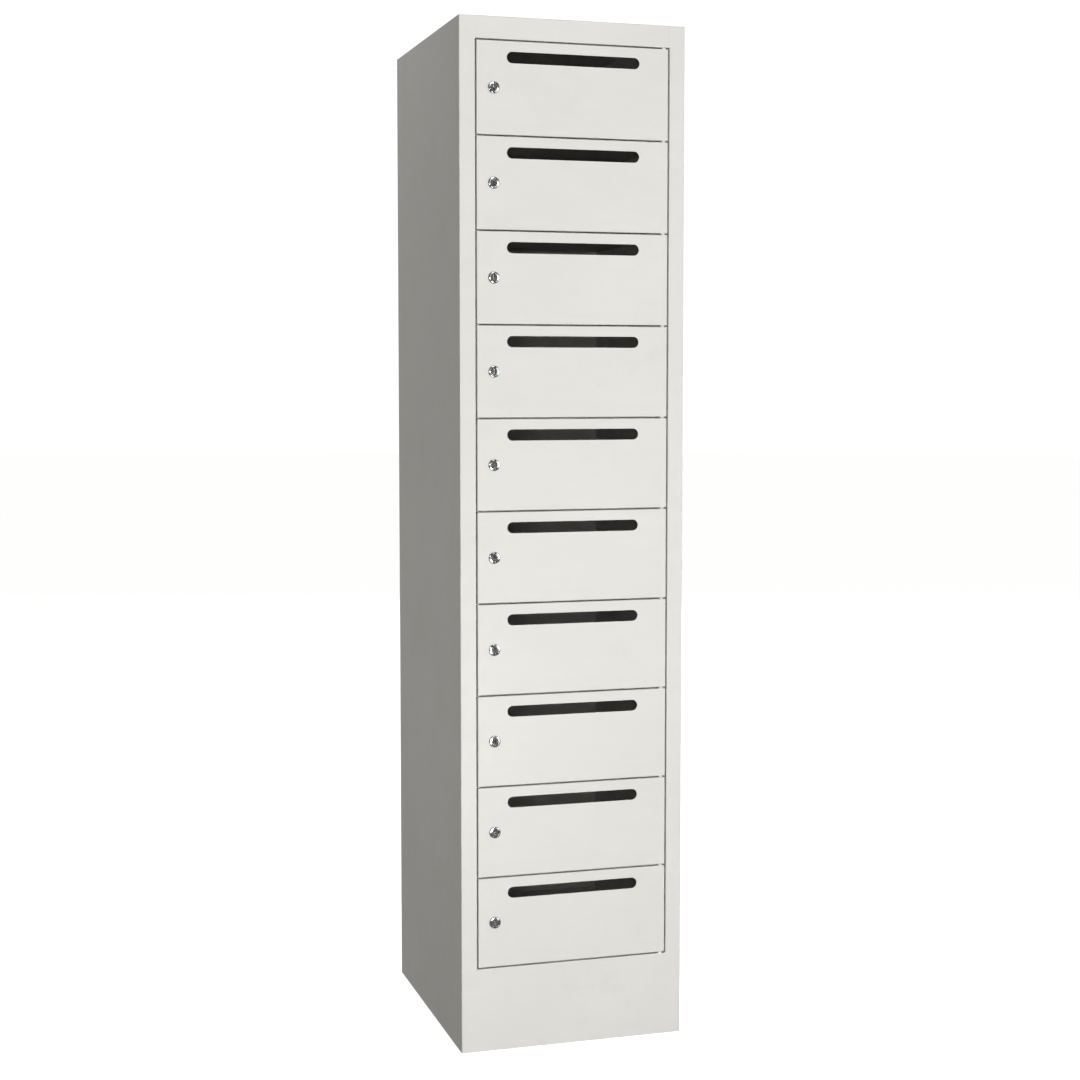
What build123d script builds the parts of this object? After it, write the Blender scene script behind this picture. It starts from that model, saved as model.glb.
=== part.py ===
"""Cluster mailbox unit: a free-standing sheet-steel locker with ten letter compartments in one column.

Each compartment has its own pan-shaped door with a round-ended letter slot and a cam lock. The doors turn on
vertical pins held by tabs of the shelves, and close flush between the stiles of the carcass. The welded
carcass stands on a plinth ring, held by weld studs under its floor.

Frame: millimetres, +Z up, +X to the right as seen from the front, the doors face -Y.
The origin is on the floor, under the middle of the carcass.
"""

import os
from math import sqrt

from build123d import *

# ---- Overall sizes ----
cabinet_width = 420.0
cabinet_depth = 500.0
cabinet_height = 1850.0
plinth_height = 148.0
compartments = 10

# ---- Sheet steel ----
carcass_sheet = 0.8
shelf_sheet = 1.0
door_sheet = 1.0
plinth_sheet = 1.5
inner_bend = 0.6  # inside radius of every fold
weld_gap = 0.1  # between sheets that are welded edge to face
overshoot = 1.0  # how far a cut runs past what it cuts

# ---- Front frame of the carcass ----
stile_width = 29.0
stop_lip = 10.0  # lip behind the doors, which they close against
top_rail_height = 39.0
sill_height = 4.0
rear_flange = 16.0  # flange at the back edge of each side panel
tray_flange = 15.0  # flanges of shelves, floor and roof
hem = 8.0  # return at the foot of a shelf's front flange

# ---- Doors ----
door_gap = 2.5
door_depth = 18.0
door_return = 12.0  # lip round the back of the pan

# ---- Letter slot ----
slot_length = 247.0
slot_height = 20.0
slot_drop = 28.5  # top edge of the door to the middle of the slot

# ---- Door pivots ----
pivot_inset = 7.5  # hinge edge of the door to the pin's axis
pivot_setback = 5.5  # front face to the pin's axis
pin_radius = 2.5
pin_reach = 8.0  # how far a pin goes into a door
pin_chamfer = 0.6
pin_seat_clearance = 0.02
pin_run_clearance = 0.05
tab_width = 8.0
tab_notch_play = 0.75  # round a tab, where it passes the stop lip
tab_slit = 1.0  # each side of a tab, in the shelf's front flange
washer_radius = 4.0
washer_play = 0.1

# ---- Door buffers ----
buffer_radius = 4.0
buffer_height = 3.0
buffer_play = 0.2
buffer_share = 0.34  # of the door's height, above and below its middle

# ---- Cam lock ----
lock_inset = 31.0  # free edge of the door to the lock's axis
collar_radius = 10.75
collar_height = 3.0
collar_rim = 0.8
collar_land = 8.7
barrel_radius = 9.0
barrel_flats = 16.0
barrel_fit = 0.15  # round the barrel in the door
plug_radius = 6.5
plug_head_radius = 7.4
plug_head_depth = 1.8
plug_recess = 0.6  # plug face below the collar
plug_clearance = 0.05
keyway_width = 2.2
keyway_height = 8.4
keyway_depth = 17.0
nut_flats = 22.0
nut_height = 4.0
cam_reach = 8.5  # past the edge of the opening, when locked
cam_width = 14.0
cam_sheet = 2.0
cam_play = 1.5  # stop lip to the cam
cam_standoff = 0.2  # barrel's rear end to the cam
cam_square = 8.0
cam_square_fit = 0.05
screw_radius = 2.0
screw_depth = 8.0  # of the tapped hole in the plug
screw_length = 7.0
screw_head_radius = 4.2
screw_head_height = 2.4

# ---- Plinth and its studs ----
plinth_flange = 25.0
plinth_corner = 2.1
stud_radius = 3.0
stud_clearance = 0.25  # round a stud, in the plinth's flange
stud_side_inset = 14.0
stud_end_inset = 40.0
stud_washer_radius = 6.2
stud_washer_height = 1.6
stud_nut_flats = 10.0
stud_nut_height = 5.0
stud_tail = 2.0  # past the nut

# ---- Wall fixing ----
wall_hole_radius = 4.0
wall_hole_spacing = 300.0
wall_hole_drop = 90.0  # top of the cabinet to the holes

# ---- Places worked out from the sizes ----
front = -cabinet_depth / 2
back = cabinet_depth / 2
half_width = cabinet_width / 2
inner_half_width = half_width - carcass_sheet - weld_gap
opening_half_width = half_width - stile_width
sill_top = plinth_height + sill_height
rail_bottom = cabinet_height - top_rail_height
door_zone = rail_bottom - sill_top - 2 * door_gap
door_height = (door_zone - (compartments - 1) * door_gap) / compartments
door_width = 2 * (opening_half_width - door_gap)
door_pitch = door_height + door_gap
pivot_x = opening_half_width - door_gap - pivot_inset
pivot_y = front + pivot_setback
lock_x = -opening_half_width + door_gap + lock_inset
lip_front = front + door_depth + buffer_play + buffer_height
lip_back = lip_front + carcass_sheet
tray_front = lip_back + weld_gap
back_sheet_outer = back - carcass_sheet
tray_back = back_sheet_outer - carcass_sheet - weld_gap
cam_front = lip_back + cam_play
cam_length = lock_inset + door_gap + cam_reach
barrel_end = cam_front - cam_standoff


def gap_height(index):
    """Height of the middle of a gap: 0 is above the top door, and compartments is below the bottom one."""
    return rail_bottom - door_gap / 2 - index * door_pitch


def door_middle(number):
    """Height of the middle of a door, with 1 at the top."""
    return (gap_height(number - 1) + gap_height(number)) / 2


def outward(side, x):
    """X span from a place out past the carcass, on the right (side 1) or on the left (side -1)."""
    return sorted((side * x, side * (half_width + overshoot)))


def span_box(x_span, y_span, z_span):
    """A box from its lowest to its highest place along each axis."""
    size = [high - low for low, high in (x_span, y_span, z_span)]
    corner = (x_span[0], y_span[0], z_span[0])
    return Pos(*corner) * Box(*size, align=(Align.MIN, Align.MIN, Align.MIN))


def fold_section(points, sheet):
    """The section of a folded sheet: its face follows points, and it lies to the right of the way walked."""
    radii = []
    for (x0, y0), (x1, y1), (x2, y2) in zip(points, points[1:], points[2:]):
        turns_right = (x1 - x0) * (y2 - y1) - (y1 - y0) * (x2 - x1) < 0
        radii.append(inner_bend + (sheet if turns_right else 0))
    path = FilletPolyline(*points, radius=radii)
    return make_face(offset(path, amount=sheet, side=Side.RIGHT))


def cylinder(radius, x, y, z_span):
    """An upright cylinder between two heights."""
    height = z_span[1] - z_span[0]
    return Pos(x, y, z_span[0]) * Cylinder(radius, height, align=(Align.CENTER, Align.CENTER, Align.MIN))


def rod_along_y(radius, x, z, y_span):
    """A cylinder lying front to back between two depths."""
    length = y_span[1] - y_span[0]
    rod = Cylinder(radius, length, align=(Align.CENTER, Align.CENTER, Align.MIN))
    return Pos(x, y_span[0], z) * Rot(-90, 0, 0) * rod


def plate_along_y(section, x, z, y_span):
    """A plate drawn in X and Z, from the first depth to the second."""
    plane = Plane((x, y_span[0], z), x_dir=(1, 0, 0), z_dir=(0, -1, 0))
    return extrude(plane * section, amount=-(y_span[1] - y_span[0]))


# ---- Carcass ----
def side_panel():
    """Left side panel in one sheet: wall, front stile with its return and stop lip, and rear flange."""
    left = -half_width
    stile_edge = left + stile_width
    wall = [(stile_edge, front), (left, front), (left, back), (left + rear_flange, back)]
    channel = [(stile_edge + stop_lip, lip_front), (stile_edge, lip_front)]
    channel_top = rail_bottom - weld_gap
    full = Pos(0, 0, plinth_height) * extrude(fold_section(channel + wall, carcass_sheet),
                                              amount=channel_top - plinth_height)
    upper = Pos(0, 0, channel_top) * extrude(fold_section(wall, carcass_sheet),
                                             amount=cabinet_height - channel_top)
    panel = full + upper
    lip = (stile_edge + weld_gap, stile_edge + stop_lip + overshoot)
    lip_depth = (lip_front - overshoot, lip_back + overshoot)
    panel -= span_box(lip, lip_depth, (plinth_height - overshoot, sill_top + weld_gap))
    notch = shelf_sheet / 2 + tab_notch_play
    for index in range(1, compartments):
        middle = gap_height(index)
        panel -= span_box(lip, lip_depth, (middle - notch, middle + notch))
    return panel


def roof_panel():
    """Roof tray: the top rail, its lintel and stop lip are folded at the front, and a flange at the rear."""
    path = [
        (lip_front, rail_bottom - stop_lip),
        (lip_front, rail_bottom),
        (front, rail_bottom),
        (front, cabinet_height),
        (back, cabinet_height),
        (back, cabinet_height - tray_flange),
    ]
    section = Plane.YZ * fold_section(path, carcass_sheet)
    roof = extrude(section, amount=inner_half_width, both=True)
    beside_stile = opening_half_width - weld_gap
    beside_lip = opening_half_width - stop_lip - weld_gap
    beside_flange = half_width - rear_flange - weld_gap
    stile_back = front + carcass_sheet + inner_bend
    flange_front = back - carcass_sheet - inner_bend
    under_roof = cabinet_height - carcass_sheet - inner_bend
    past_front, past_lip = front - overshoot, lip_back + overshoot
    past_back, past_top = back + overshoot, cabinet_height + overshoot
    for side in (-1, 1):
        roof -= span_box(outward(side, beside_stile), (past_front, stile_back), (0, past_top))
        roof -= span_box(outward(side, beside_stile), (past_front, past_lip), (0, under_roof))
        roof -= span_box(outward(side, beside_lip), (lip_front - overshoot, past_lip), (0, rail_bottom))
        roof -= span_box(outward(side, beside_flange), (flange_front, past_back), (0, past_top))
    through_rail = (rail_bottom - overshoot, rail_bottom + carcass_sheet + overshoot)
    return roof - cylinder(pin_radius + pin_seat_clearance, pivot_x, pivot_y, through_rail)


def stud_places():
    """Where the studs between the floor and the plinth stand."""
    return [
        (side * (half_width - stud_side_inset), end * (cabinet_depth / 2 - stud_end_inset))
        for side in (-1, 1)
        for end in (-1, 1)
    ]


def floor_panel():
    """Floor tray with the door sill folded at the front and upstands along its sides and back."""
    floor_top = plinth_height + carcass_sheet
    path = [
        (front, plinth_height),
        (front, sill_top),
        (lip_back, sill_top),
        (lip_back, floor_top),
        (tray_back - carcass_sheet, floor_top),
        (tray_back - carcass_sheet, floor_top + tray_flange),
    ]
    section = Plane.YZ * fold_section(path, carcass_sheet)
    floor = extrude(section, amount=inner_half_width, both=True)
    beside_stile = opening_half_width - weld_gap
    side_edge = inner_half_width - carcass_sheet
    upstand = [
        (-side_edge, floor_top + tray_flange),
        (-side_edge, floor_top),
        (side_edge, floor_top),
        (side_edge, floor_top + tray_flange),
    ]
    past_flange = sill_top + tray_flange
    for side in (-1, 1):
        floor -= span_box(outward(side, beside_stile), (front - overshoot, tray_front), (0, past_flange))
        floor -= span_box(outward(side, side_edge), (tray_front - overshoot, back), (0, past_flange))
    first, last = tray_front + inner_bend + carcass_sheet, tray_back - 2 * carcass_sheet - inner_bend
    floor += Pos(0, last, 0) * extrude(Plane.XZ * fold_section(upstand, carcass_sheet), amount=last - first)
    through_sill = (sill_top - carcass_sheet - overshoot, sill_top + overshoot)
    floor -= cylinder(pin_radius + pin_seat_clearance, pivot_x, pivot_y, through_sill)
    return floor


def back_panel():
    """Flat back sheet, welded in front of the rear flanges, with two holes to fix the cabinet to a wall."""
    clear_of_bend = inner_bend + weld_gap
    low = plinth_height + carcass_sheet + clear_of_bend
    high = cabinet_height - carcass_sheet - clear_of_bend
    side_edge = half_width - carcass_sheet - clear_of_bend
    sheet_front = back_sheet_outer - carcass_sheet
    panel = span_box((-side_edge, side_edge), (sheet_front, back_sheet_outer), (low, high))
    hole_height = cabinet_height - wall_hole_drop
    through_sheet = (sheet_front - overshoot, back_sheet_outer + overshoot)
    for side in (-1, 1):
        panel -= rod_along_y(wall_hole_radius, side * wall_hole_spacing / 2, hole_height, through_sheet)
    return panel


def shelf(index):
    """Shelf tray under the gap between two doors, with the tab for their pin and one at the lock side."""
    top = gap_height(index) + shelf_sheet / 2
    foot = top - tray_flange
    path = [
        (tray_front + hem, foot),
        (tray_front, foot),
        (tray_front, top),
        (tray_back, top),
        (tray_back, foot),
    ]
    relief = shelf_sheet + inner_bend
    main = extrude(Plane.YZ * fold_section(path, shelf_sheet), amount=inner_half_width - relief, both=True)
    sides_path = [
        (-inner_half_width, foot),
        (-inner_half_width, top),
        (inner_half_width, top),
        (inner_half_width, foot),
    ]
    first, last = tray_front + relief, tray_back - relief
    sides = Pos(0, last, 0) * extrude(Plane.XZ * fold_section(sides_path, shelf_sheet), amount=last - first)
    tray = main + sides
    left_tab = (-opening_half_width + weld_gap, -opening_half_width + weld_gap + tab_width)
    hinge_tab = (pivot_x - tab_width / 2, pivot_x + tab_width / 2)
    sheet_span = (top - shelf_sheet, top)
    past_foot, past_top = foot - overshoot, top + overshoot
    for tab in (left_tab, hinge_tab):
        slit = (tab[0] - tab_slit, tab[1] + tab_slit)
        tray -= span_box(slit, (tray_front - overshoot, first), (past_foot, past_top))
        tray -= span_box(slit, (tray_front, tray_front + hem + overshoot), (past_foot, foot + relief))
        tray += span_box(tab, (pivot_y, first + overshoot), sheet_span)
    tray += cylinder(tab_width / 2, pivot_x, pivot_y, sheet_span)
    return tray - cylinder(pin_radius + pin_seat_clearance, pivot_x, pivot_y, (foot, past_top))


# ---- Plinth ----
def plinth_frame():
    """Welded plinth ring with flanges turned inwards at its top and foot."""
    upright = (0, plinth_height)
    outer = span_box((-half_width, half_width), (front, back), upright)
    outer = fillet(outer.edges().filter_by(Axis.Z), plinth_corner)
    inner_x, inner_y = half_width - plinth_sheet, back - plinth_sheet
    hollow = span_box((-inner_x, inner_x), (-inner_y, inner_y), (plinth_sheet, plinth_height - plinth_sheet))
    hollow = fillet(hollow.edges().filter_by(Axis.Z), inner_bend)
    open_x, open_y = half_width - plinth_flange, back - plinth_flange
    past_top = plinth_height + overshoot
    ring = outer - hollow - span_box((-open_x, open_x), (-open_y, open_y), (-overshoot, past_top))
    through_flange = (plinth_height - plinth_sheet - overshoot, past_top)
    for x, y in stud_places():
        ring -= cylinder(stud_radius + stud_clearance, x, y, through_flange)
    return ring


def plinth_studs():
    """Four studs welded under the floor, down through the plinth's flange, each with its washer and nut."""
    flange_foot = plinth_height - plinth_sheet
    washer_foot = flange_foot - stud_washer_height
    nut_foot = washer_foot - stud_nut_height
    solids = []
    for x, y in stud_places():
        solids.append(cylinder(stud_radius, x, y, (nut_foot - stud_tail, plinth_height)))
        bore_span = (nut_foot - overshoot, flange_foot + overshoot)
        bore = cylinder(stud_radius + pin_seat_clearance, x, y, bore_span)
        solids.append(cylinder(stud_washer_radius, x, y, (washer_foot, flange_foot)) - bore)
        hexagon = RegularPolygon(stud_nut_flats / 2, 6, major_radius=False)
        solids.append(Pos(x, y, nut_foot) * extrude(hexagon, amount=stud_nut_height) - bore)
    return Compound(children=solids)


# ---- Door pivots ----
def pivot_pin(index):
    """Pin in the gap above or below a door; between two doors it serves both."""
    middle = gap_height(index)
    low, high = middle - door_gap / 2 - pin_reach, middle + door_gap / 2 + pin_reach
    if index == 0:
        high = rail_bottom + carcass_sheet + pin_chamfer
    if index == compartments:
        low = sill_top - carcass_sheet - pin_chamfer
    pin = cylinder(pin_radius, pivot_x, pivot_y, (low, high))
    return chamfer(pin.edges().filter_by(GeomType.CIRCLE), pin_chamfer)


def pivot_washers(index):
    """Nylon washers that fill a gap at its pin: one each side of a shelf's tab, or one at rail or sill."""
    middle = gap_height(index)
    low, high = middle - door_gap / 2 + washer_play, middle + door_gap / 2 - washer_play
    tab_half = shelf_sheet / 2
    if index == 0:
        spans = [(low, rail_bottom)]
    elif index == compartments:
        spans = [(sill_top, high)]
    else:
        spans = [(low, middle - tab_half), (middle + tab_half, high)]
    bore = cylinder(pin_radius + pin_run_clearance, pivot_x, pivot_y, (low - overshoot, high + overshoot))
    return [cylinder(washer_radius, pivot_x, pivot_y, span) - bore for span in spans]


def hinge_pins():
    """All the pivot pins: one above the top door, one between each two doors, and one below the last."""
    return Compound(children=[pivot_pin(index) for index in range(compartments + 1)])


def hinge_washers():
    """The nylon washers of every gap."""
    rings = []
    for index in range(compartments + 1):
        rings += pivot_washers(index)
    return Compound(children=rings)


def door_buffers():
    """Two rubber buffers for each door, on the stop lip at its lock side."""
    x = -opening_half_width + stop_lip / 2
    depth = (front + door_depth + buffer_play, lip_front)
    buffers = []
    for number in range(1, compartments + 1):
        for side in (-1, 1):
            height = door_middle(number) + side * buffer_share * door_height
            buffers.append(rod_along_y(buffer_radius, x, height, depth))
    return Compound(children=buffers)


# ---- Doors ----
def door_leaf(number):
    """Pan-shaped door: front skin, flanges and back lips, with its letter slot, lock hole and pin holes."""
    middle = door_middle(number)
    low, high = middle - door_height / 2, middle + door_height / 2
    half = door_width / 2
    outer_radius, wall = inner_bend + door_sheet, door_sheet
    pan = span_box((-half, half), (front, front + door_depth), (low, high))
    pan = fillet(pan.edges().filter_by(Axis.Y), outer_radius)
    pan = fillet(pan.faces().sort_by(Axis.Y)[0].edges(), outer_radius)
    inner_y, inner_z = (front + wall, front + door_depth - wall), (low + wall, high - wall)
    inner = span_box((-half + wall, half - wall), inner_y, inner_z)
    inner = fillet(inner.edges().filter_by(Axis.Y), inner_bend)
    inner = fillet(inner.faces().sort_by(Axis.Y)[0].edges(), inner_bend)
    mouth_half = half - door_return
    mouth_z = (low + door_return, high - door_return)
    mouth_y = (front + wall + overshoot, front + door_depth + overshoot)
    leaf = pan - inner - span_box((-mouth_half, mouth_half), mouth_y, mouth_z)
    through = (front - overshoot, front + wall + overshoot)
    leaf -= plate_along_y(SlotOverall(slot_length, slot_height), 0, high - slot_drop, through)
    round_hole = Circle(barrel_radius + barrel_fit)
    lock_hole = round_hole & Rectangle(barrel_flats + 2 * barrel_fit, 2 * (barrel_radius + overshoot))
    leaf -= plate_along_y(lock_hole, lock_x, middle, through)
    for edge in (low, high):
        span = (edge - wall - overshoot, edge + wall + overshoot)
        leaf -= cylinder(pin_radius + pin_run_clearance, pivot_x, pivot_y, span)
    return leaf


# ---- Cam lock ----
def lock_barrel(number):
    """Lock housing with its domed collar and threaded body with two flats, and the nut that clamps it."""
    middle = door_middle(number)
    head_bore = plug_head_radius + plug_clearance
    face = front - collar_height
    dome = [(collar_land, -collar_height), (collar_radius, -collar_rim)]
    drop = (collar_height - collar_rim) / sqrt(2)
    mid_dome = (collar_radius - (collar_radius - collar_land) * (1 - 1 / sqrt(2)), -collar_rim - drop)
    outline = [
        Line((0, 0), (collar_radius, 0)),
        Line((collar_radius, 0), dome[1]),
        ThreePointArc(dome[1], mid_dome, dome[0]),
        Line(dome[0], (0, -collar_height)),
        Line((0, -collar_height), (0, 0)),
    ]
    ring = revolve(make_face(Curve() + outline), axis=Axis.Y)
    collar = Pos(lock_x, front, middle) * ring
    body = rod_along_y(barrel_radius, lock_x, middle, (front, barrel_end))
    body &= span_box(
        (lock_x - barrel_flats / 2, lock_x + barrel_flats / 2),
        (front, barrel_end),
        (middle - barrel_radius, middle + barrel_radius),
    )
    bore_span = (face - overshoot, barrel_end + overshoot)
    bore = rod_along_y(plug_radius + plug_clearance, lock_x, middle, bore_span)
    head_seat = face + plug_recess + plug_head_depth + plug_clearance
    counterbore = rod_along_y(head_bore, lock_x, middle, (face - overshoot, head_seat))
    housing = collar + body - bore - counterbore
    hexagon = RegularPolygon(nut_flats / 2, 6, major_radius=False)
    hexagon -= Circle(barrel_radius + pin_seat_clearance)
    nut_front = front + door_sheet
    nut = plate_along_y(hexagon, lock_x, middle, (nut_front, nut_front + nut_height))
    return Compound(children=[housing, nut])


def lock_plug(number):
    """Turning plug with its head, keyway and the square end that drives the cam."""
    middle = door_middle(number)
    face = front - collar_height + plug_recess
    head = rod_along_y(plug_head_radius, lock_x, middle, (face, face + plug_head_depth))
    core = rod_along_y(plug_radius, lock_x, middle, (face, barrel_end))
    square = Rectangle(cam_square, cam_square)
    drive = plate_along_y(square, lock_x, middle, (barrel_end, cam_front + cam_sheet))
    keyway_span = (face - overshoot, face + keyway_depth)
    keyway = plate_along_y(Rectangle(keyway_width, keyway_height), lock_x, middle, keyway_span)
    thread_span = (cam_front + cam_sheet - screw_depth, cam_front + cam_sheet + overshoot)
    thread = rod_along_y(screw_radius + pin_seat_clearance, lock_x, middle, thread_span)
    return head + core + drive - keyway - thread


def lock_cam(number):
    """Locking cam, hanging down when unlocked, and the screw that holds it on the plug."""
    middle = door_middle(number)
    arm_length = cam_length - cam_width / 2
    blade = Circle(barrel_radius) + Pos(0, -arm_length / 2) * Rectangle(cam_width, arm_length)
    blade += Pos(0, -arm_length) * Circle(cam_width / 2)
    square = cam_square + 2 * cam_square_fit
    blade -= Rectangle(square, square)
    cam = plate_along_y(blade, lock_x, middle, (cam_front, cam_front + cam_sheet))
    seat = cam_front + cam_sheet
    head = rod_along_y(screw_head_radius, lock_x, middle, (seat, seat + screw_head_height))
    head = fillet(head.edges().sort_by(Axis.Y)[-1], screw_head_height / 2)
    shank = rod_along_y(screw_radius, lock_x, middle, (seat - screw_length, seat))
    return Compound(children=[cam, head + shank])


def write(shape, name):
    """Writes one sub-part to its own STEP file."""
    shape.label = name
    export_step(shape, os.path.join("parts", name + ".step"))


os.makedirs("parts", exist_ok=True)
left_panel = side_panel()
write(left_panel, "left_side_panel")
write(mirror(left_panel, about=Plane.YZ), "right_side_panel")
write(roof_panel(), "roof_panel")
write(floor_panel(), "floor_panel")
write(back_panel(), "back_panel")
write(plinth_frame(), "plinth_frame")
write(plinth_studs(), "plinth_studs")
write(hinge_pins(), "hinge_pins")
write(hinge_washers(), "hinge_washers")
write(door_buffers(), "door_buffers")
for index in range(1, compartments):
    write(shelf(index), f"shelf_{index:02d}")
for number in range(1, compartments + 1):
    write(door_leaf(number), f"door_leaf_{number:02d}")
    write(lock_barrel(number), f"lock_barrel_{number:02d}")
    write(lock_plug(number), f"lock_plug_{number:02d}")
    write(lock_cam(number), f"lock_cam_{number:02d}")
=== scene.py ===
"""Cluster mailbox unit: a steel column of ten letter compartments on a plinth, in light-grey powder coat."""

from math import pi, radians

import bmesh
import bpy
from mathutils import Matrix, Vector


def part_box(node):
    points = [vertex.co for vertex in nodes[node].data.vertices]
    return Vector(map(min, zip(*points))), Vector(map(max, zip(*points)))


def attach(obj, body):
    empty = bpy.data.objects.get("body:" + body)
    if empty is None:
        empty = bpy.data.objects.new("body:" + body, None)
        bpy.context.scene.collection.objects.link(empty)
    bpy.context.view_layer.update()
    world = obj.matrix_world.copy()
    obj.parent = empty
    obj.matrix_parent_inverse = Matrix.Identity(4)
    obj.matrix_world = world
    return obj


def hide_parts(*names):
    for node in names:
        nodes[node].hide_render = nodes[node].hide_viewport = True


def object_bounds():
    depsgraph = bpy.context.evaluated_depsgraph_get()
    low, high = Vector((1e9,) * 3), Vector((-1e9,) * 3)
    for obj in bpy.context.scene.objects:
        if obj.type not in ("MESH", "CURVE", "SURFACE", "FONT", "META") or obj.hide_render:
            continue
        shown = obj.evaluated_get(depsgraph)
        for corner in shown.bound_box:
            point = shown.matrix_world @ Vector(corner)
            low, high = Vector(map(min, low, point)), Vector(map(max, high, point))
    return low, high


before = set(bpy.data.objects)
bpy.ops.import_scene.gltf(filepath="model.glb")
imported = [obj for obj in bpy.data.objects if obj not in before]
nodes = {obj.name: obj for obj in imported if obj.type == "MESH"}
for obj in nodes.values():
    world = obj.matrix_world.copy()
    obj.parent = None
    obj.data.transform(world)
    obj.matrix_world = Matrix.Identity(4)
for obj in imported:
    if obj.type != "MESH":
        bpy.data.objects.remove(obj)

cad_low, cad_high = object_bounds()
compartments = 10
mm = 0.001

# Plinth. A ring of 1.5 mm steel sheet, welded at its corners, with flanges turned inwards at its top and foot.
# It is coated like the carcass: light-grey satin powder, baked to a film with a fine orange peel. The tone of
# the film drifts a little over each sheet, and drawn-out streaks show how the gun passed over it.
coat_light = (0.675, 0.668, 0.642)
coat_shade = (0.628, 0.620, 0.594)
coat_grime = (0.560, 0.548, 0.515)
coat_roughness = 0.42


def shader_tree(name):
    """A new material's nodes: its tree and its Principled shader, joined to the output."""
    material = bpy.data.materials.new(name)
    material.use_nodes = True
    tree = material.node_tree
    tree.nodes.clear()
    output = tree.nodes.new("ShaderNodeOutputMaterial")
    shader = tree.nodes.new("ShaderNodeBsdfPrincipled")
    tree.links.new(shader.outputs["BSDF"], output.inputs["Surface"])
    return material, tree, shader


def cloud(tree, scale, stretch=(1, 1, 1), detail=3.0, roughness=0.5):
    """Noise in metres on the piece's own coordinates, drawn out along the axes whose stretch is small."""
    place = tree.nodes.new("ShaderNodeTexCoord")
    mapping = tree.nodes.new("ShaderNodeMapping")
    mapping.inputs["Scale"].default_value = stretch
    texture = tree.nodes.new("ShaderNodeTexNoise")
    texture.inputs["Scale"].default_value = scale
    texture.inputs["Detail"].default_value = detail
    texture.inputs["Roughness"].default_value = roughness
    tree.links.new(place.outputs["Object"], mapping.inputs["Vector"])
    tree.links.new(mapping.outputs["Vector"], texture.inputs["Vector"])
    return texture.outputs["Fac"]


def ranged(tree, value, low, high, first=0.3, last=0.7):
    """A value between two numbers, reached where the noise is at first and at last."""
    node = tree.nodes.new("ShaderNodeMapRange")
    node.inputs["From Min"].default_value = first
    node.inputs["From Max"].default_value = last
    node.inputs["To Min"].default_value = low
    node.inputs["To Max"].default_value = high
    tree.links.new(value, node.inputs["Value"])
    return node.outputs["Result"]


def mixed(tree, value, first, second):
    """A colour between two others, which are colours or the outputs of other nodes."""
    mix = tree.nodes.new("ShaderNodeMix")
    mix.data_type = "RGBA"
    for socket, colour in (("A", first), ("B", second)):
        if isinstance(colour, tuple):
            mix.inputs[socket].default_value = (*colour, 1)
        else:
            tree.links.new(colour, mix.inputs[socket])
    tree.links.new(value, mix.inputs["Factor"])
    return mix.outputs["Result"]


def relief(tree, shader, *layers):
    """Stacks bumps, each a (height value, depth in metres, strength), on the shader's normal."""
    normal = None
    for value, depth, strength in layers:
        bump = tree.nodes.new("ShaderNodeBump")
        bump.inputs["Distance"].default_value = depth
        bump.inputs["Strength"].default_value = strength
        tree.links.new(value, bump.inputs["Height"])
        if normal:
            tree.links.new(normal, bump.inputs["Normal"])
        normal = bump.outputs["Normal"]
    tree.links.new(normal, shader.inputs["Normal"])


def powder_coat(name, grime, peel_strength=0.45):
    """Satin powder coat: drifting tone, faint gun streaks, fine grain, a trace of handling grime, orange peel."""
    material, tree, shader = shader_tree(name)
    drift = cloud(tree, 3.5, detail=4.0, roughness=0.6)
    streaks = cloud(tree, 26.0, stretch=(0.25, 0.25, 1.6), detail=4.0, roughness=0.65)
    grain = cloud(tree, 380.0, detail=2.0)
    tone = mixed(tree, ranged(tree, drift, 0.0, 1.0), coat_shade, coat_light)
    tone = mixed(tree, ranged(tree, streaks, 0.0, 0.55), tone, coat_shade)
    tone = mixed(tree, ranged(tree, grain, 0.0, 0.30), tone, coat_light)
    smudges = cloud(tree, 9.0, detail=6.0, roughness=0.7)
    tone = mixed(tree, ranged(tree, smudges, 0.0, grime, first=0.52, last=0.80), tone, coat_grime)
    tree.links.new(tone, shader.inputs["Base Color"])
    gloss = ranged(tree, cloud(tree, 55.0, detail=4.0), coat_roughness - 0.05, coat_roughness + 0.08)
    tree.links.new(gloss, shader.inputs["Roughness"])
    peel = cloud(tree, 420.0, detail=1.0)
    flow = cloud(tree, 140.0, detail=2.0)
    relief(tree, shader, (flow, 0.00012, 0.30), (peel, 0.00008, peel_strength))
    return material


def dress(names, material):
    """Gives CAD nodes their finish."""
    for name in names:
        nodes[name].data.materials.clear()
        nodes[name].data.materials.append(material)


dress(["plinth_frame"], powder_coat("plinth_powder_coat", grime=0.55))

# Carcass. Left and right side panels, roof, floor and back of 0.8 mm steel sheet. Each side panel is folded from
# one sheet with its front stile, and the roof with the top rail. They are spot welded together along their
# flanges, and then coated inside and out.
carcass_coat = powder_coat("carcass_powder_coat", grime=0.35, peel_strength=1.0)
dress(["left_side_panel", "right_side_panel", "roof_panel", "floor_panel", "back_panel"], carcass_coat)

# Shelves. Nine trays of 1 mm steel sheet, which are also the walls between the compartments. Their flanges are
# spot welded to the side panels, and tabs at their front edges reach out into the gaps between the doors.
dress([f"shelf_{number:02d}" for number in range(1, compartments)], powder_coat("shelf_powder_coat", grime=0.25))

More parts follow.
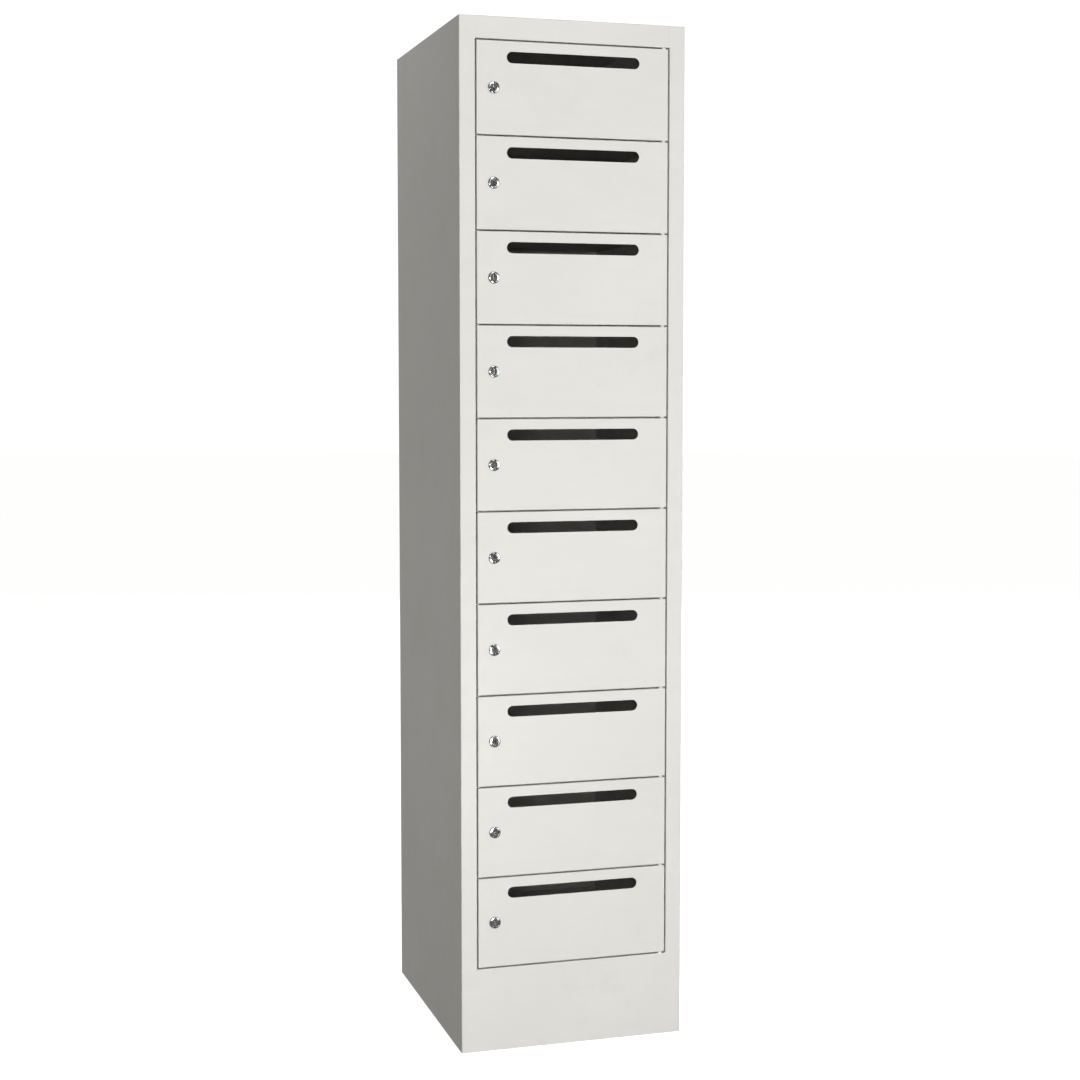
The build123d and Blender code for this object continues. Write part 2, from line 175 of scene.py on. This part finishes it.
# Plinth studs. Four zinc-plated M6 threaded studs, welded to the underside of the floor panel. They go down
# through the plinth's top flange, and a washer and a nut on each hold the carcass on the plinth.
zinc_light = (0.69, 0.70, 0.71)
zinc_shade = (0.60, 0.61, 0.63)
zinc_tarnish = (0.52, 0.51, 0.47)
stud_radius = 3.0 * mm
stud_root = 2.55 * mm
stud_pitch = 1.0 * mm
stud_washer = (6.2 * mm, 1.6 * mm)
stud_nut = (10.0 * mm, 5.0 * mm)
plinth_sheet = 1.5 * mm
turning_steps = 48


def plated(name, light, shade, tarnish, roughness):
    """Plated metal: slightly cloudy, with thin tarnish in patches and fine handling scratches in its gloss."""
    material, tree, shader = shader_tree(name)
    tone = mixed(tree, ranged(tree, cloud(tree, 240.0, detail=4.0), 0.0, 1.0), shade, light)
    patches = ranged(tree, cloud(tree, 120.0, detail=6.0, roughness=0.7), 0.0, 0.4, first=0.55, last=0.80)
    tree.links.new(mixed(tree, patches, tone, tarnish), shader.inputs["Base Color"])
    scratches = cloud(tree, 1500.0, stretch=(1.0, 0.2, 0.35), detail=3.0)
    tree.links.new(ranged(tree, scratches, roughness * 0.7, roughness * 1.5), shader.inputs["Roughness"])
    relief(tree, shader, (scratches, 0.000004, 0.3))
    shader.inputs["Metallic"].default_value = 1.0
    return material


def add_shape(target, part, place=None):
    """Moves one shape's geometry into another, at a place."""
    if place is not None:
        bmesh.ops.transform(part, matrix=place, verts=part.verts)
    bmesh.ops.remove_doubles(part, verts=part.verts, dist=1e-6)
    bmesh.ops.recalc_face_normals(part, faces=part.faces)
    carrier = bpy.data.meshes.new("carrier")
    part.to_mesh(carrier)
    part.free()
    target.from_mesh(carrier)
    bpy.data.meshes.remove(carrier)


def turned(outline, rounded=None, closed=True):
    """A turned shape round the Y axis, from (radius, depth) points. Rounded gives a radius to points by index."""
    shape = bmesh.new()
    corners = [shape.verts.new((radius, depth, 0)) for radius, depth in outline]
    for start, end in zip(corners, corners[1:] + corners[:1] if closed else corners[1:]):
        shape.edges.new((start, end))
    for index, radius in (rounded or {}).items():
        bmesh.ops.bevel(shape, geom=[corners[index]], offset=radius, offset_type="OFFSET", segments=5,
                        profile=0.5, affect="VERTICES", material=-1)
    bmesh.ops.spin(shape, geom=shape.verts[:] + shape.edges[:], cent=(0, 0, 0), axis=(0, 1, 0),
                   angle=2 * pi, steps=turning_steps, use_merge=True)
    return shape


def polygon_ring(shape, radius, sides, depth):
    """A ring of edges round the Y axis: a polygon whose sides are divided, to match a turned edge."""
    made = bmesh.ops.create_circle(shape, segments=sides, radius=radius, cap_ends=False)
    edges = list({edge for vert in made["verts"] for edge in vert.link_edges})
    bmesh.ops.rotate(shape, verts=made["verts"], cent=(0, 0, 0), matrix=Matrix.Rotation(pi / 2, 3, "X"))
    bmesh.ops.translate(shape, verts=made["verts"], vec=(0, depth, 0))
    if sides < turning_steps:
        cut = bmesh.ops.subdivide_edges(shape, edges=edges, cuts=turning_steps // sides - 1)
        edges = [item for item in cut["geom"] if isinstance(item, bmesh.types.BMEdge)]
    return edges


def ring_plate(outer_edges, bore, height, shape):
    """A plate from a ring of outer edges to a round bore, with its height towards +Y."""
    inner = polygon_ring(shape, bore, turning_steps, 0.0)
    bmesh.ops.bridge_loops(shape, edges=outer_edges + inner)
    top = bmesh.ops.extrude_face_region(shape, geom=shape.faces[:])["geom"]
    bmesh.ops.translate(shape, verts=[item for item in top if isinstance(item, bmesh.types.BMVert)],
                        vec=(0, height, 0))


def soften(shape, width, angle=50.0):
    """A narrow rounding on every edge that is sharper than an angle."""
    bmesh.ops.remove_doubles(shape, verts=shape.verts, dist=1e-6)
    bmesh.ops.recalc_face_normals(shape, faces=shape.faces)
    sharp = [edge for edge in shape.edges if edge.is_manifold and edge.calc_face_angle() > radians(angle)]
    bmesh.ops.bevel(shape, geom=sharp, offset=width, offset_type="OFFSET", segments=2, profile=0.5,
                    affect="EDGES", material=-1, clamp_overlap=True)


def hexagon_nut(flats, bore, height):
    """A hexagon nut round the Y axis, from 0 towards +Y."""
    nut = bmesh.new()
    ring_plate(polygon_ring(nut, flats / 3 ** 0.5, 6, 0.0), bore, height, nut)
    soften(nut, 0.035 * flats)
    bmesh.ops.rotate(nut, verts=nut.verts, cent=(0, 0, 0), matrix=Matrix.Rotation(pi / 6, 3, "Y"))
    return nut


def finished(shape, name, body, slot, material, *replaced):
    """Makes a piece of a shape, smooth except at its sharp edges, and joins it to the frame."""
    bmesh.ops.recalc_face_normals(shape, faces=shape.faces)
    mesh = bpy.data.meshes.new(name)
    shape.to_mesh(mesh)
    shape.free()
    mesh.shade_smooth()
    mesh.set_sharp_from_angle(angle=radians(32))
    mesh.materials.append(material)
    piece = bpy.data.objects.new(name, mesh)
    bpy.context.scene.collection.objects.link(piece)
    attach(piece, body)
    if replaced:
        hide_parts(*replaced)
    return piece


zinc_plate = plated("zinc_plate", zinc_light, zinc_shade, zinc_tarnish, roughness=0.30)
studs_low, studs_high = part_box("plinth_studs")
stud_x = studs_high.x - stud_washer[0]
stud_y = studs_high.y - stud_washer[0]
stud_length = studs_high.z - studs_low.z
downwards = Matrix.Rotation(-pi / 2, 4, "X")
stud_set = bmesh.new()
for side_x, side_y in ((-1, -1), (-1, 1), (1, -1), (1, 1)):
    seat = Vector((side_x * stud_x, side_y * stud_y, studs_high.z))
    outline = [(0.0, 0.0), (stud_radius, 0.0)]
    for turn in range(int(stud_length / stud_pitch)):
        outline += [(stud_root, (turn + 0.5) * stud_pitch), (stud_radius, (turn + 1) * stud_pitch)]
    outline[-1] = (stud_root, stud_length)
    outline.append((0.0, stud_length))
    add_shape(stud_set, turned(outline, closed=False), Matrix.Translation(seat) @ downwards)
    washer = bmesh.new()
    ring_plate(polygon_ring(washer, stud_washer[0], turning_steps, 0.0), stud_radius, stud_washer[1], washer)
    soften(washer, 0.2 * mm)
    add_shape(stud_set, washer, Matrix.Translation(seat - Vector((0, 0, plinth_sheet))) @ downwards)
    nut = hexagon_nut(stud_nut[0], stud_radius, stud_nut[1])
    under_washer = seat - Vector((0, 0, plinth_sheet + stud_washer[1]))
    add_shape(stud_set, nut, Matrix.Translation(under_washer) @ downwards)
finished(stud_set, "plinth_studs_and_nuts", "carcass", "zinc_plate", zinc_plate, "plinth_studs")

# Hinge pins and washers. The doors turn on eleven zinc-plated steel pins, each with chamfered ends, riveted into
# the rail, the sill or the tab of a shelf. Washers of natural nylon keep the doors off the tabs.
nylon_light = (0.86, 0.85, 0.81)
nylon_shade = (0.74, 0.73, 0.68)
dress(["hinge_pins"], zinc_plate)


def moulded(name, light, shade, roughness, grain):
    """Moulded plastic or rubber: a mottled body colour, with the fine grain of the mould."""
    material, tree, shader = shader_tree(name)
    mottle = ranged(tree, cloud(tree, 350.0, detail=4.0), 0.0, 1.0)
    tree.links.new(mixed(tree, mottle, shade, light), shader.inputs["Base Color"])
    texture = cloud(tree, 2200.0, detail=2.0)
    tree.links.new(ranged(tree, texture, roughness - 0.08, roughness + 0.08), shader.inputs["Roughness"])
    relief(tree, shader, (texture, 0.00002, grain))
    return material


dress(["hinge_washers"], moulded("natural_nylon", nylon_light, nylon_shade, roughness=0.45, grain=0.3))

# Door buffers. Twenty domed studs of black rubber, two for each door. They are pressed into the stop lip of the
# left stile, and the closed door rests against them.
rubber_light = (0.035, 0.034, 0.033)
rubber_shade = (0.014, 0.014, 0.014)
buffer_radius = 4.0 * mm
buffer_height = 3.0 * mm
buffer_share = 0.34
buffers_low, buffers_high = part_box("door_buffers")
buffer_outline = [
    (0.0, 0.0),
    (buffer_radius, 0.0),
    (buffer_radius, -0.45 * buffer_height),
    (0.55 * buffer_radius, -buffer_height),
    (0.0, -buffer_height),
]
buffers = bmesh.new()
for number in range(1, compartments + 1):
    door_low, door_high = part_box(f"door_leaf_{number:02d}")
    door_middle = (door_low.z + door_high.z) / 2
    for side in (-1, 1):
        height = door_middle + side * buffer_share * (door_high.z - door_low.z)
        place = Vector(((buffers_low.x + buffers_high.x) / 2, buffers_high.y, height))
        stud = turned(buffer_outline, rounded={2: 0.3 * buffer_radius, 3: 0.35 * buffer_radius}, closed=False)
        add_shape(buffers, stud, Matrix.Translation(place))
rubber = moulded("black_rubber", rubber_light, rubber_shade, roughness=0.62, grain=0.6)
finished(buffers, "rubber_buffers", "carcass", "black_rubber", rubber, "door_buffers")

# Doors. Ten pans of 1 mm steel sheet, with flanges and back lips, and a round-ended letter slot punched near the
# top edge. They are coated like the carcass, with a smoother film and faint smudges left by hands.
door_coat = powder_coat("door_powder_coat", grime=0.30)
dress([f"door_leaf_{number:02d}" for number in range(1, compartments + 1)], door_coat)

# Lock housings. Die-cast zinc barrels with bright chrome plate: a domed collar in front of the door, and behind
# it a threaded body with two flats, which a large thin nut clamps against the back of the door's skin.
chrome_light = (0.56, 0.57, 0.58)
chrome_shade = (0.42, 0.43, 0.44)
chrome_tarnish = (0.50, 0.49, 0.46)
collar_radius = 10.75 * mm
collar_height = 3.0 * mm
collar_rim = 0.8 * mm
plug_bore = 6.55 * mm
head_bore = 7.45 * mm
head_seat = 0.55 * mm
body_radius = 9.0 * mm
body_flat = 8.0 * mm
body_root = 8.55 * mm
thread_pitch = 1.0 * mm
lock_nut = (22.0 * mm, 4.0 * mm)
door_sheet = 1.0 * mm


def lock_place(number):
    """Where a lock's axis crosses the front face of its door."""
    low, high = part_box(f"lock_barrel_{number:02d}")
    return Matrix.Translation(((low.x + high.x) / 2, low.y + collar_height, (low.z + high.z) / 2))


def threaded_body(length):
    """The housing's body: bored, threaded from the door to its end, and cut flat at both sides."""
    turns = int((length - door_sheet) / thread_pitch)
    outline = [(plug_bore, length), (plug_bore, -0.4 * mm), (body_radius, -0.4 * mm), (body_radius, door_sheet)]
    for turn in range(turns):
        start = door_sheet + turn * thread_pitch
        outline += [(body_root, start + 0.5 * thread_pitch), (body_radius, start + thread_pitch)]
    outline.append((body_root, length))
    body = turned(outline)
    bmesh.ops.remove_doubles(body, verts=body.verts, dist=1e-6)
    for side in (-1, 1):
        cut = bmesh.ops.bisect_plane(body, geom=body.verts[:] + body.edges[:] + body.faces[:], dist=1e-7,
                                     plane_co=(side * body_flat, 0, 0), plane_no=(side, 0, 0), clear_outer=True)
        rim = [item for item in cut["geom_cut"] if isinstance(item, bmesh.types.BMEdge)]
        bmesh.ops.triangle_fill(body, edges=rim, use_beauty=True, use_dissolve=False)
    return body


collar_outline = [
    (plug_bore, 0.0),
    (collar_radius, 0.0),
    (collar_radius, -collar_height),
    (head_bore, -collar_height),
    (head_bore, -head_seat),
    (plug_bore, -head_seat),
]
chrome = plated("lock_chrome", chrome_light, chrome_shade, chrome_tarnish, roughness=0.09)
for number in range(1, compartments + 1):
    low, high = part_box(f"lock_barrel_{number:02d}")
    housing = bmesh.new()
    add_shape(housing, turned(collar_outline, rounded={2: collar_height - collar_rim, 3: 0.25 * mm}))
    add_shape(housing, threaded_body(high.y - low.y - collar_height))
    nut = hexagon_nut(lock_nut[0], body_radius, lock_nut[1])
    add_shape(housing, nut, Matrix.Translation((0, door_sheet, 0)))
    bmesh.ops.transform(housing, matrix=lock_place(number), verts=housing.verts)
    name = f"lock_housing_{number:02d}"
    finished(housing, name, f"door_{number:02d}", "lock_chrome", chrome, f"lock_barrel_{number:02d}")

# Lock plugs. The turning core of each lock, die cast and chromed: a flat head with a rounded rim that lies in the
# collar, an upright keyway through it, and a square end behind, which drives the cam.
plug_head_radius = 7.4 * mm
plug_head_height = 1.8 * mm
plug_face = -2.4 * mm
plug_radius = 6.5 * mm
keyway_width = 2.2 * mm
keyway_height = 8.4 * mm
keyway_depth = 15.0 * mm
cam_square = 8.0 * mm
face_ring = 5.6 * mm
square_length = 2.2 * mm


def sink(shape, edges, depth):
    """Walls from a ring of edges down to a depth, closed by a floor."""
    walls = bmesh.ops.extrude_edge_only(shape, edges=edges)["geom"]
    foot = [item for item in walls if isinstance(item, bmesh.types.BMVert)]
    bmesh.ops.translate(shape, verts=foot, vec=(0, depth, 0))
    rim = [item for item in walls if isinstance(item, bmesh.types.BMEdge)]
    bmesh.ops.edgeloop_fill(shape, edges=rim)


for number in range(1, compartments + 1):
    low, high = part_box(f"lock_plug_{number:02d}")
    rear = plug_face + high.y - low.y
    outline = [
        (0.0, rear - square_length),
        (plug_radius, rear - square_length),
        (plug_radius, plug_face + plug_head_height),
        (plug_head_radius, plug_face + plug_head_height),
        (plug_head_radius, plug_face),
        (face_ring, plug_face),
    ]
    plug = turned(outline, rounded={1: 0.3 * mm, 4: 0.5 * mm}, closed=False)
    bmesh.ops.remove_doubles(plug, verts=plug.verts, dist=1e-6)
    rim = [edge for edge in plug.edges if edge.is_boundary]
    opening = bmesh.ops.create_grid(plug, x_segments=6, y_segments=18, size=0.5,
                                    matrix=Matrix.Rotation(pi / 2, 4, "X"))["verts"]
    bmesh.ops.scale(plug, verts=opening, vec=(keyway_width, 1.0, keyway_height))
    bmesh.ops.translate(plug, verts=opening, vec=(0, plug_face, 0))
    keyway = list({edge for vert in opening for edge in vert.link_edges if edge.is_boundary})
    bmesh.ops.delete(plug, geom=[vert for vert in opening if not vert.is_boundary], context="VERTS")
    bmesh.ops.triangle_fill(plug, edges=rim + keyway, use_beauty=True, use_dissolve=False)
    sink(plug, keyway, keyway_depth)
    square = bmesh.new()
    bmesh.ops.create_cube(square, size=1.0)
    bmesh.ops.scale(square, verts=square.verts, vec=(cam_square, square_length + 1.0 * mm, cam_square))
    bmesh.ops.translate(square, verts=square.verts, vec=(0, rear - (square_length + 1.0 * mm) / 2, 0))
    soften(square, 0.3 * mm)
    add_shape(plug, square)
    bmesh.ops.transform(plug, matrix=lock_place(number), verts=plug.verts)
    name = f"lock_core_{number:02d}"
    finished(plug, name, f"lock_{number:02d}", "lock_chrome", chrome, f"lock_plug_{number:02d}")

# Lock cams. Stamped from 2 mm steel and zinc plated, with a square hole that fits the end of the plug. A
# button-head screw holds each on. Unlocked, the cam hangs down; locked, it lies behind the left stile's lip.
cam_sheet = 2.0 * mm
cam_boss = 9.0 * mm
cam_shoulder = (7.0 * mm, 5.66 * mm)
cam_hole = 8.1 * mm
cam_screw = (4.2 * mm, 2.4 * mm, 2.0 * mm, 7.0 * mm, 2.5 * mm, 1.4 * mm)


def button_screw(head_radius, head_height, shank_radius, shank_length, socket_flats, socket_depth):
    """A button-head socket screw: its head stands towards -Y from 0, and its shank goes to +Y."""
    mouth = socket_flats * 0.72
    outline = [
        (0.0, shank_length),
        (shank_radius, shank_length),
        (shank_radius, 0.0),
        (head_radius, 0.0),
        (head_radius, -0.25 * head_height),
        (mouth * 1.15, -head_height),
        (mouth, -head_height),
    ]
    screw = turned(outline, rounded={1: 0.12 * shank_radius, 4: 0.3 * head_height, 5: 0.3 * head_radius},
                   closed=False)
    bmesh.ops.remove_doubles(screw, verts=screw.verts, dist=1e-6)
    rim = [edge for edge in screw.edges if edge.is_boundary]
    socket = polygon_ring(screw, socket_flats / 3 ** 0.5, 6, -head_height)
    bmesh.ops.bridge_loops(screw, edges=rim + socket)
    sink(screw, socket, socket_depth)
    return screw


for number in range(1, compartments + 1):
    low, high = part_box(f"lock_cam_{number:02d}")
    centre = (low.x + high.x) / 2
    axis_height = high.z - cam_boss
    reach = axis_height - low.z
    cam = bmesh.new()
    half, drop = cam_shoulder
    corners = [(-cam_boss, cam_boss), (cam_boss, cam_boss), (cam_boss, -0.45 * drop), (half, -drop),
               (half, -reach), (-half, -reach), (-half, -drop), (-cam_boss, -0.45 * drop)]
    blade = [cam.verts.new((x, 0, z)) for x, z in corners]
    for start, end in zip(blade, blade[1:] + blade[:1]):
        cam.edges.new((start, end))
    for chosen, radius in ((blade[:2], cam_boss), (blade[4:6], half)):
        bmesh.ops.bevel(cam, geom=chosen, offset=radius * 0.999, offset_type="OFFSET", segments=10, profile=0.5,
                        affect="VERTICES", material=-1)
    upright_square = Matrix.Rotation(pi / 2, 4, "X") @ Matrix.Rotation(pi / 4, 4, "Z")
    bmesh.ops.create_circle(cam, segments=4, radius=cam_hole / 2 ** 0.5, cap_ends=False, matrix=upright_square)
    bmesh.ops.triangle_fill(cam, edges=cam.edges[:], use_beauty=True, use_dissolve=False)
    back = bmesh.ops.extrude_face_region(cam, geom=cam.faces[:])["geom"]
    bmesh.ops.translate(cam, verts=[item for item in back if isinstance(item, bmesh.types.BMVert)],
                        vec=(0, cam_sheet, 0))
    soften(cam, 0.25 * mm)
    screw = button_screw(*cam_screw)
    add_shape(cam, screw, Matrix.Translation((0, cam_sheet, 0)) @ Matrix.Rotation(pi, 4, "Z"))
    cam_front = high.y - cam_screw[1] - cam_sheet
    bmesh.ops.translate(cam, verts=cam.verts, vec=(centre, cam_front, axis_height))
    finished(cam, f"locking_cam_{number:02d}", f"lock_{number:02d}", "zinc_plate", zinc_plate,
             f"lock_cam_{number:02d}")

# Studio floor and backdrop. The cabinet stands on a wide sheet of white paper, lit so evenly that it hardly
# shows a shadow, inside a plain white dome that only the camera sees.
floor_width = 60.0
dome_radius = 28.0
paper_light = (0.42, 0.42, 0.42)
paper_shade = (0.38, 0.38, 0.38)
paper_glow = 0.92
dome_glow = 1.05


def staged(shape, name, material):
    """Makes an object that belongs to the studio."""
    mesh = bpy.data.meshes.new(name)
    shape.to_mesh(mesh)
    shape.free()
    mesh.materials.append(material)
    thing = bpy.data.objects.new(name, mesh)
    bpy.context.scene.collection.objects.link(thing)
    return thing


paper, tree, shader = shader_tree("white_paper")
tree.links.new(mixed(tree, cloud(tree, 2.0), paper_shade, paper_light), shader.inputs["Base Color"])
shader.inputs["Roughness"].default_value = 0.9
shader.inputs["Specular IOR Level"].default_value = 0.1
shader.inputs["Emission Color"].default_value = (1, 1, 1, 1)
shader.inputs["Emission Strength"].default_value = paper_glow
sheet = bmesh.new()
bmesh.ops.create_grid(sheet, x_segments=1, y_segments=1, size=floor_width / 2)
studio_floor = staged(sheet, "studio_floor", paper)
studio_floor.visible_diffuse = False
studio_floor.visible_glossy = False

white, tree, shader = shader_tree("lit_dome")
shader.inputs["Base Color"].default_value = (0, 0, 0, 1)
shader.inputs["Emission Color"].default_value = (1, 1, 1, 1)
shader.inputs["Emission Strength"].default_value = dome_glow
dome = bmesh.new()
bmesh.ops.create_icosphere(dome, subdivisions=4, radius=dome_radius)
bmesh.ops.reverse_faces(dome, faces=dome.faces)
backdrop = staged(dome, "studio_backdrop", white)
backdrop.visible_diffuse = False
backdrop.visible_glossy = False
backdrop.visible_transmission = False
backdrop.visible_shadow = False

# Lights. A large softbox in front and to the right, a smaller one near the camera, and one low and one high in
# front light the doors evenly from top to foot. Weak ones at the left and one behind shape the other sides.
room_colour = (1.0, 0.955, 0.895)
room_strength = 0.170
world = bpy.data.worlds.new("studio_fill")
world.use_nodes = True
world.node_tree.nodes["Background"].inputs["Color"].default_value = (*room_colour, 1)
world.node_tree.nodes["Background"].inputs["Strength"].default_value = room_strength
bpy.context.scene.world = world


def softbox(name, place, aim, size, watts):
    """A square softbox that faces the point it aims at."""
    light = bpy.data.lights.new(name, "AREA")
    light.shape = "SQUARE"
    light.size = size
    light.energy = watts
    lamp = bpy.data.objects.new(name, light)
    lamp.location = place
    lamp.rotation_euler = (Vector(aim) - Vector(place)).to_track_quat("-Z", "Y").to_euler()
    lamp.visible_camera = False
    bpy.context.scene.collection.objects.link(lamp)


cabinet_middle = (0, 0, (cad_low.z + cad_high.z) / 2)
softbox("key_softbox", place=(4.0, -7.0, 1.35), aim=cabinet_middle, size=3.0, watts=188)
softbox("low_front_softbox", place=(-0.1, -2.3, 0.30), aim=(0, 0, 0.15), size=0.6, watts=20)
softbox("high_front_softbox", place=(0.1, -2.3, 2.7), aim=(0, 0, 1.9), size=0.7, watts=18)
softbox("near_fill_softbox", place=(-1.2, -3.7, 1.25), aim=cabinet_middle, size=0.6, watts=28)
softbox("high_side_softbox", place=(-1.1, 0.7, 2.7), aim=(-0.2, 0, 1.85), size=0.5, watts=5.5)
softbox("low_side_softbox", place=(-2.2, 0.9, 0.35), aim=(-0.2, 0, 0.3), size=1.0, watts=10)
softbox("back_softbox", place=(1.5, 6.0, 3.0), aim=cabinet_middle, size=3.0, watts=250)

# Camera. It stands in front and to the left, at the height of a person's chest, and looks slightly down.
camera_left = 0.8348
camera_distance = 3.2808
camera_height = 1.2159
camera_tilt = 0.0724
camera_turn = 0.2909
cabinet_front = -0.25
camera_data = bpy.data.cameras.new("camera")
camera_data.lens = 63.79
camera_data.shift_y = -0.02
camera = bpy.data.objects.new("camera", camera_data)
camera.location = (cad_low.x - camera_left, cabinet_front - camera_distance, camera_height)
camera.rotation_euler = (pi / 2 - camera_tilt, 0, -camera_turn)
bpy.context.scene.collection.objects.link(camera)
bpy.context.scene.camera = camera
bpy.context.scene.view_settings.view_transform = "Standard"
